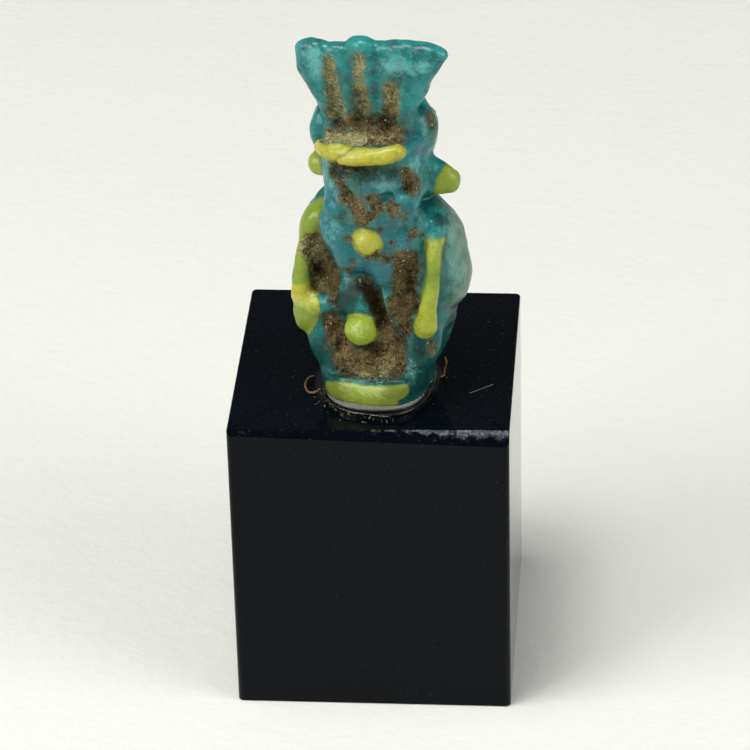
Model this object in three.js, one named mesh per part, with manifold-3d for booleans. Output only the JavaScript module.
// Deity amulet: a bearded dwarf deity in a feather crown, moulded in one piece of glazed faience,
// standing in a puddle of clear adhesive on a square display block of polished black acrylic.
//
// Millimetres, +Z up. The block's front faces -Y, and the origin is the middle of its underside.
// The amulet is turned a little on the block, so it is modelled upright in axes of its own, with
// its face towards -Y, and placed by a turned group.

import * as THREE from "three";
import { ConvexGeometry } from "three/addons/geometries/ConvexGeometry.js";
import { mergeVertices } from "three/addons/utils/BufferGeometryUtils.js";
import Module from "manifold-3d";

// The display block, and the ground bevel along its upper front edge, which widens to the right.
const BLOCK_WIDTH = 15;
const BLOCK_DEPTH = 15;
const BLOCK_HEIGHT = 17.5;
const BLOCK_CORNER = 0.3;
const BEVEL_LEFT = 0.27;
const BEVEL_RIGHT = 0.66;

// The adhesive, and how far it has spread past the figure's foot on each side.
const PAD_THICKNESS = 0.6;
const PAD_EDGE = 0.35;
const PAD_SPREAD_LEFT = 1.35;
const PAD_SPREAD_RIGHT = 0.45;
const PAD_SPREAD_FRONT = 0.1;
const PAD_SPREAD_BACK = 1.4;

// The amulet: its height, and where its axis stands on the block.
const FIGURE_HEIGHT = 20.2;
const FIGURE_RIGHT = 0.56;
const FIGURE_FORWARD = 1.54;
const FIGURE_TURN_DEGREES = 13;

// The moulded foot that the deity squats on.
const FOOT_WIDTH = 5.7;
const FOOT_DEPTH = 6.4;
const FOOT_HEIGHT = 1.15;

// The bore that the amulet was strung by, the least wall of paste round it, and its lug.
const BORE_DIAMETER = 1.1;
const BORE_WALL = 0.75;
const LUG_WIDTH = 4.4;

// The carving is measured in UNITs, of which the figure is 20.2 high.
const UNIT = FIGURE_HEIGHT / 20.2;
const FOOT_FRONT = -4.1 * UNIT;
const BACK_PLANE = 2.9 * UNIT;
const BORE_HEIGHT = 13.8 * UNIT;
const BORE_BACK = BACK_PLANE - BORE_WALL - BORE_DIAMETER / 2;

// How finely round forms are divided.
const FINE = 18;
const MEDIUM = 12;
const COARSE = 9;
const RINGS = 2;

const wasm = await Module();
wasm.setup();

// A closed geometry as a solid that can be joined and cut. Triangles that have shrunk to a line
// where a form closes at its poles are left out.
function solidOf(geometry) {
  const bare = geometry.clone();
  bare.deleteAttribute("normal");
  bare.deleteAttribute("uv");
  const merged = mergeVertices(bare, 1e-4);
  const corners = merged.index.array;
  const triangles = [];
  for (let i = 0; i < corners.length; i += 3) {
    const [a, b, c] = corners.slice(i, i + 3);
    if (a !== b && b !== c && c !== a) triangles.push(a, b, c);
  }
  return new wasm.Manifold(
    new wasm.Mesh({
      numProp: 3,
      vertProperties: Float32Array.from(merged.attributes.position.array),
      triVerts: Uint32Array.from(triangles),
    }),
  );
}

// A solid as a geometry that a mesh can show.
function geometryOf(solid) {
  const mesh = solid.getMesh();
  const geometry = new THREE.BufferGeometry();
  geometry.setAttribute("position", new THREE.BufferAttribute(mesh.vertProperties, 3));
  geometry.setIndex(new THREE.BufferAttribute(mesh.triVerts, 1));
  const shown = geometry.toNonIndexed();
  shown.computeVertexNormals();
  return shown;
}

const joined = (solids) => solids.reduce((whole, piece) => whole.add(piece));

// An egg-shaped lump: its centre and half-sizes in UNITs, turned about X, Y and Z in degrees.
function lump(centre, halves, { turn = [0, 0, 0], sides = MEDIUM } = {}) {
  const geometry = new THREE.SphereGeometry(1, sides, Math.round(sides * 0.6));
  const angles = turn.map(THREE.MathUtils.degToRad);
  geometry.rotateX(Math.PI / 2);
  geometry.scale(...halves);
  geometry.applyMatrix4(new THREE.Matrix4().makeRotationFromEuler(new THREE.Euler(...angles)));
  geometry.translate(...centre);
  geometry.scale(UNIT, UNIT, UNIT);
  return solidOf(geometry);
}

// A limb with rounded ends. Each station along it is [x, y, z, half-width, half-depth] in UNITs.
// The width is measured along the axis called across, as far as the limb's own direction allows.
function limb(stations, { sides = COARSE, across = [1, 0, 0] } = {}) {
  const path = new THREE.CatmullRomCurve3(stations.map(([x, y, z]) => new THREE.Vector3(x, y, z)));
  const sizes = new THREE.CatmullRomCurve3(
    stations.map(([, , , width, depth = width]) => new THREE.Vector3(width, depth, 0)),
  );
  const rings = RINGS * (stations.length - 1);
  const capSteps = 3;
  const profile = [];
  for (let i = 0; i < capSteps; i += 1) {
    const angle = (i / capSteps) * (Math.PI / 2);
    profile.push(new THREE.Vector2(Math.sin(angle), -Math.cos(angle)));
  }
  for (let i = 0; i <= rings; i += 1) profile.push(new THREE.Vector2(1, i));
  for (let i = capSteps - 1; i >= 0; i -= 1) {
    const angle = (i / capSteps) * (Math.PI / 2);
    profile.push(new THREE.Vector2(Math.sin(angle), rings + Math.cos(angle)));
  }
  const geometry = new THREE.LatheGeometry(profile, sides);
  const place = geometry.attributes.position;
  for (let i = 0; i < place.count; i += 1) {
    const height = place.getY(i);
    const t = THREE.MathUtils.clamp(height / rings, 0, 1);
    const cap = height - t * rings;
    const size = sizes.getPoint(t);
    const along = path.getTangent(t);
    const side = new THREE.Vector3(...across);
    side.addScaledVector(along, -side.dot(along)).normalize();
    const front = new THREE.Vector3().crossVectors(side, along);
    const point = path.getPoint(t);
    point.addScaledVector(side, place.getX(i) * size.x);
    point.addScaledVector(front, place.getZ(i) * size.y);
    point.addScaledVector(along, cap * Math.min(size.x, size.y));
    place.setXYZ(i, point.x, point.y, point.z);
  }
  geometry.scale(UNIT, UNIT, UNIT);
  return solidOf(geometry);
}

// A flat slab between two heights, whose outline is a squarish oval and whose edges are rounded.
function slab(centre, halves, bottom, top, { power = 2.6, edge = 0.25, sides = 26 } = {}) {
  const outline = [];
  for (let i = 0; i < sides; i += 1) {
    const angle = (i / sides) * 2 * Math.PI;
    const bulge = (value) => Math.sign(value) * Math.abs(value) ** (2 / power);
    const x = centre[0] + halves[0] * bulge(Math.cos(angle));
    const y = centre[1] + halves[1] * bulge(Math.sin(angle));
    outline.push(new THREE.Vector2(x, y));
  }
  const geometry = new THREE.ExtrudeGeometry(new THREE.Shape(outline), {
    depth: top - bottom - 2 * edge,
    bevelThickness: edge,
    bevelSize: edge,
    bevelOffset: -edge,
    bevelSegments: 2,
    steps: 1,
  });
  geometry.translate(0, 0, bottom + edge);
  return solidOf(geometry);
}

// The block: a square bar with slightly rounded upright corners, less the wedge of its bevel.
function blockSolid() {
  const right = BLOCK_WIDTH / 2;
  const back = BLOCK_DEPTH / 2;
  const radius = BLOCK_CORNER;
  const outline = new THREE.Shape();
  outline.absarc(right - radius, back - radius, radius, 0, Math.PI / 2);
  outline.absarc(radius - right, back - radius, radius, Math.PI / 2, Math.PI);
  outline.absarc(radius - right, radius - back, radius, Math.PI, 1.5 * Math.PI);
  outline.absarc(right - radius, radius - back, radius, 1.5 * Math.PI, 2 * Math.PI);
  const bar = new THREE.ExtrudeGeometry(outline, {
    depth: BLOCK_HEIGHT,
    curveSegments: 5,
    bevelEnabled: false,
  });
  const overrun = 1;
  const slope = (BEVEL_RIGHT - BEVEL_LEFT) / BLOCK_WIDTH;
  const wedge = [];
  for (const side of [-1, 1]) {
    const x = side * (right + overrun);
    const leg = (BEVEL_LEFT + BEVEL_RIGHT) / 2 + slope * x;
    const reach = leg + overrun;
    wedge.push(new THREE.Vector3(x, -back + reach, BLOCK_HEIGHT + overrun));
    wedge.push(new THREE.Vector3(x, -back - overrun, BLOCK_HEIGHT - reach));
    wedge.push(new THREE.Vector3(x, -back - overrun, BLOCK_HEIGHT + overrun));
  }
  return solidOf(bar).subtract(solidOf(new ConvexGeometry(wedge)));
}

// The adhesive: a thin oval disc round the foot, with a rounded upper edge.
function padSolid() {
  const left = -FOOT_WIDTH / 2 - PAD_SPREAD_LEFT;
  const right = FOOT_WIDTH / 2 + PAD_SPREAD_RIGHT;
  const front = FOOT_FRONT - PAD_SPREAD_FRONT;
  const back = FOOT_FRONT + FOOT_DEPTH + PAD_SPREAD_BACK;
  const halfWidth = (right - left) / 2;
  const halfDepth = (back - front) / 2;
  const arcSteps = 4;
  const profile = [new THREE.Vector2(0, 0), new THREE.Vector2(1, 0)];
  for (let i = 0; i <= arcSteps; i += 1) {
    const angle = (i / arcSteps) * (Math.PI / 2);
    const inset = (PAD_EDGE / halfWidth) * (1 - Math.cos(angle));
    const height = PAD_THICKNESS - PAD_EDGE * (1 - Math.sin(angle));
    profile.push(new THREE.Vector2(1 - inset, height));
  }
  profile.push(new THREE.Vector2(0, PAD_THICKNESS));
  const geometry = new THREE.LatheGeometry(profile, 40);
  geometry.rotateX(Math.PI / 2);
  geometry.scale(halfWidth, halfDepth, 1);
  geometry.translate((left + right) / 2, (front + back) / 2, 0);
  return solidOf(geometry);
}

// The foot: a low squarish oval plate, whose front edge is glazed.
function footSolid() {
  const middle = FOOT_FRONT + FOOT_DEPTH / 2;
  return slab([0, middle], [FOOT_WIDTH / 2, FOOT_DEPTH / 2], 0, FOOT_HEIGHT);
}

// The back: a plain pillar, flat behind, that rises from the foot to the bore.
function pillarSolid() {
  const thickness = 2.2 * UNIT;
  const middle = BACK_PLANE - thickness / 2;
  return slab([0, middle], [1.7 * UNIT, thickness / 2], 0, BORE_HEIGHT, { power: 5, sides: 20 });
}

// The squat body with its flanks, belly and navel, and the bandy legs with sand between them.
function bodySolids() {
  const trunk = limb(
    [
      [0.15, 0.1, 2.2, 3.3, 2.1],
      [0.1, 0.1, 3.4, 3.75, 2.3],
      [0.1, 0, 5.0, 4.15, 2.4],
      [0.15, 0, 6.9, 4.55, 2.35],
      [0.15, 0, 8.3, 4.45, 2.2],
      [0.1, 0.1, 9.4, 3.9, 2.0],
    ],
    { sides: FINE },
  );
  const pieces = [
    trunk,
    lump([-0.3, -1.45, 5.2], [2.1, 1.8, 1.9]),
    lump([0.1, -1.75, 2.5], [2.0, 1.7, 2.0]),
    lump([0.1, -2.3, 1.9], [1.85, 1.35, 1.45]),
    lump([-0.25, -3.25, 4.15], [0.88, 0.8, 0.88]),
  ];
  for (const side of [-1, 1]) {
    const thigh = [
      [side * 2.3, -0.9, 4.4, 1.15],
      [side * 2.6, -1.8, 2.9, 1.1],
      [side * 2.15, -2.1, 1.7, 0.95],
      [side * 1.9, -2.3, 1.0, 0.85],
    ];
    pieces.push(limb(thigh, { sides: MEDIUM }));
  }
  return pieces;
}

// The arms: one hangs straight down the thigh and ends in a drop-shaped hand, the other stands
// out akimbo, and its fist rests on the hip. A web of paste closes the gap behind the bent arm.
function armSolids() {
  const straight = limb(
    [
      [3.3, -1.3, 9.9, 0.55, 0.5],
      [3.4, -1.75, 8.9, 0.42, 0.5],
      [3.4, -2.0, 7.2, 0.36, 0.45],
      [3.2, -2.2, 5.6, 0.48, 0.5],
      [3.08, -2.3, 4.3, 0.6, 0.55],
    ],
  );
  const akimbo = limb(
    [
      [-2.7, -0.9, 9.9, 0.8, 0.9],
      [-3.4, -0.9, 9.0, 0.7, 0.9],
      [-3.8, -1.0, 7.4, 0.55, 0.9],
      [-3.95, -1.4, 6.0, 0.5, 0.8],
      [-3.95, -1.8, 4.9, 0.55, 0.7],
    ],
  );
  const forearm = limb(
    [
      [-3.9, -1.75, 4.9, 0.45],
      [-3.3, -1.95, 4.75, 0.5],
      [-2.5, -2.15, 4.8, 0.5],
      [-1.9, -2.2, 5.1, 0.45],
    ],
    { across: [0, 0, 1] },
  );
  const fist = lump([-3.6, -1.9, 3.95], [0.85, 0.8, 1.2], { turn: [0, -6, 0] });
  const web = lump([-3.05, -0.2, 7.0], [1.15, 1.3, 2.9]);
  const shoulder = lump([3.1, -0.5, 9.3], [1.15, 1.3, 1.2]);
  return [straight, akimbo, forearm, fist, web, shoulder];
}

// The beard: a broad apron below the jaw, whose lower edge hangs in locks.
function beardSolids() {
  const apron = lump([0.1, -1.75, 9.7], [2.75, 1.45, 2.15], { sides: FINE });
  const locks = [
    [-1.95, -1.95, 9.35, 0.75, 1.5],
    [-1.1, -2.35, 8.55, 0.85, 1.55],
    [-0.1, -2.45, 8.6, 0.85, 1.4],
    [0.85, -2.4, 8.35, 0.85, 1.7],
    [1.75, -2.1, 9.1, 0.85, 1.4],
    [2.3, -1.7, 9.6, 0.7, 1.2],
  ];
  const strands = locks.map(([x, y, z, half, reach]) =>
    lump([x, y, z], [half, half, reach], { turn: [-8, 4 * x, 0] }),
  );
  return [apron, ...strands];
}

// The lion-like face: broad cheeks, a flat muzzle, heavy brows and the tongue put out.
function headSolids() {
  const pieces = [
    lump([0.05, -0.5, 12.6], [3.0, 2.5, 2.5], { sides: FINE }),
    lump([0.1, -1.75, 11.6], [2.45, 1.4, 1.9], { sides: FINE }),
    lump([0.1, -2.8, 10.75], [1.0, 0.65, 0.6]),
    lump([0.05, -3.05, 11.35], [0.6, 0.5, 0.5], { sides: COARSE }),
    limb(
      [
        [0.05, -2.7, 12.9, 0.35],
        [0.05, -2.95, 11.8, 0.42],
      ],
      ),
    lump([0.2, -3.0, 9.5], [0.75, 0.7, 0.8], { turn: [-12, 0, 0] }),
  ];
  for (const side of [-1, 1]) {
    pieces.push(lump([side * 1.4, -2.3, 10.85], [1.0, 0.8, 0.75]));
    pieces.push(
      limb(
        [
          [side * 0.4, -2.7, 12.95, 0.33],
          [side * 1.3, -2.5, 13.0, 0.38],
          [side * 2.1, -1.9, 12.75, 0.33],
        ],
        { across: [0, 0, 1] },
      ),
    );
  }
  pieces.push(lump([3.15, 0.1, 12.15], [1.2, 0.75, 1.0], { turn: [0, 14, 0] }));
  pieces.push(lump([-3.15, -0.1, 12.1], [0.65, 0.6, 0.6]));
  pieces.push(lump([-3.05, 0.2, 14.1], [0.8, 1.1, 1.4]));
  pieces.push(lump([2.15, 0.5, 14.4], [0.85, 1.3, 1.5]));
  return pieces;
}

// The crown's socket on the flattened head, with a headband of two overlapping strips in front
// and a roll of hair behind.
function crownSolids() {
  const socket = slab([0, -0.5 * UNIT], [2.7 * UNIT, 2.4 * UNIT], 13.2 * UNIT, 14.75 * UNIT);
  const upperStrip = limb(
    [
      [-2.6, -1.75, 13.95, 0.5, 0.5],
      [-2.0, -2.35, 14.05, 0.55, 0.5],
      [-1.3, -2.75, 14.15, 0.5, 0.5],
    ],
    { across: [0, 0, 1] },
  );
  const lowerStrip = limb(
    [
      [-1.15, -2.85, 13.95, 0.48, 0.52],
      [-0.3, -3.0, 14.05, 0.6, 0.55],
      [0.8, -2.8, 14.25, 0.6, 0.52],
      [1.6, -2.3, 14.45, 0.5, 0.45],
    ],
    { across: [0, 0, 1] },
  );
  const roll = limb(
    [
      [-2.3, 0.7, 15.0, 1.15],
      [0, 0.9, 15.2, 1.25],
      [1.35, 0.8, 15.4, 1.1],
    ],
    { sides: MEDIUM, across: [0, 0, 1] },
  );
  return [socket, upperStrip, lowerStrip, roll];
}

// The crown: five feathers side by side that spread from the socket and lean a little forward.
// Each is listed by its places across at four heights, the height of its tip and its half-width.
function plumeSolids() {
  const feathers = [
    { places: [-2.1, -2.5, -2.95, -3.2], top: 19.75, half: 1.06 },
    { places: [-1.2, -1.5, -1.8, -1.8], top: 19.85, half: 0.95 },
    { places: [-0.15, -0.25, -0.4, -0.55], top: 20.15, half: 0.95 },
    { places: [0.8, 0.85, 1.0, 1.2], top: 20.2, half: 1.0 },
    { places: [1.55, 1.5, 2.05, 2.95], top: 20.2, half: 1.06 },
  ];
  const tipThickness = 0.6;
  return feathers.map(({ places, top, half }) =>
    limb(
      [
        [places[0], -0.3, 14.3, 0.72, 0.75],
        [places[1], -0.4, 16.2, 0.76, 0.74],
        [places[2], -0.55, 17.8, half * 0.93, 0.7],
        [places[3], -0.7, top - tipThickness, half, tipThickness],
      ],
      { sides: MEDIUM },
    ),
  );
}

// The lug at the back of the head, which the bore runs through from side to side.
function lugSolid() {
  const radius = BORE_DIAMETER / 2 + BORE_WALL;
  const lug = new THREE.CylinderGeometry(radius, radius, LUG_WIDTH, FINE);
  lug.rotateZ(Math.PI / 2);
  lug.translate(0, BORE_BACK, BORE_HEIGHT);
  return solidOf(lug);
}

function boreSolid() {
  const radius = BORE_DIAMETER / 2;
  const cutter = new THREE.CylinderGeometry(radius, radius, FIGURE_HEIGHT, FINE);
  cutter.rotateZ(Math.PI / 2);
  cutter.translate(0, BORE_BACK, BORE_HEIGHT);
  return solidOf(cutter);
}

// The hollows: eye sockets, the mouth, the deep gap inside the bent arm, and the pit where the
// surface is lost between beard and belly.
function hollowSolids() {
  return [
    lump([-1.15, -2.95, 12.05], [0.55, 0.45, 0.38], { sides: COARSE }),
    lump([1.25, -2.95, 12.05], [0.55, 0.45, 0.38], { sides: COARSE }),
    lump([2.05, -2.35, 12.6], [0.45, 0.6, 0.5], { sides: COARSE }),
    lump([0.15, -3.3, 10.25], [0.8, 0.3, 0.18], { sides: COARSE }),
    lump([-2.75, -2.3, 6.6], [1.05, 1.25, 1.6]),
    lump([0.5, -3.3, 5.9], [0.42, 1.2, 1.25], { turn: [0, -18, 0], sides: COARSE }),
    lump([2.2, -2.9, 6.9], [0.7, 0.85, 1.5], { sides: COARSE }),
  ];
}

function figureSolid() {
  const solids = [
    footSolid(),
    pillarSolid(),
    ...bodySolids(),
    ...armSolids(),
    ...beardSolids(),
    ...headSolids(),
    ...crownSolids(),
    ...plumeSolids(),
    lugSolid(),
  ];
  const hollows = [...hollowSolids(), boreSolid()];
  return hollows.reduce((figure, hollow) => figure.subtract(hollow), joined(solids));
}

const ACRYLIC = new THREE.MeshStandardMaterial({ color: 0x05070b, roughness: 0.12, metalness: 0 });
const ADHESIVE = new THREE.MeshStandardMaterial({ color: 0xcfc8a8, roughness: 0.1, metalness: 0 });
const FAIENCE = new THREE.MeshStandardMaterial({ color: 0x2a7a86, roughness: 0.35, metalness: 0 });

const amulet = new THREE.Group();

const block = new THREE.Mesh(geometryOf(blockSolid()), ACRYLIC);
block.name = "display_block";
amulet.add(block);

// What stands on the block is turned with the figure.
const standing = new THREE.Group();
standing.position.set(FIGURE_RIGHT, -FIGURE_FORWARD, BLOCK_HEIGHT);
standing.rotation.z = -THREE.MathUtils.degToRad(FIGURE_TURN_DEGREES);
amulet.add(standing);

const pad = new THREE.Mesh(geometryOf(padSolid()), ADHESIVE);
pad.name = "adhesive_pad";
standing.add(pad);

const figure = new THREE.Mesh(geometryOf(figureSolid()), FAIENCE);
figure.name = "amulet_figure";
figure.position.z = PAD_THICKNESS;
standing.add(figure);

export default amulet;
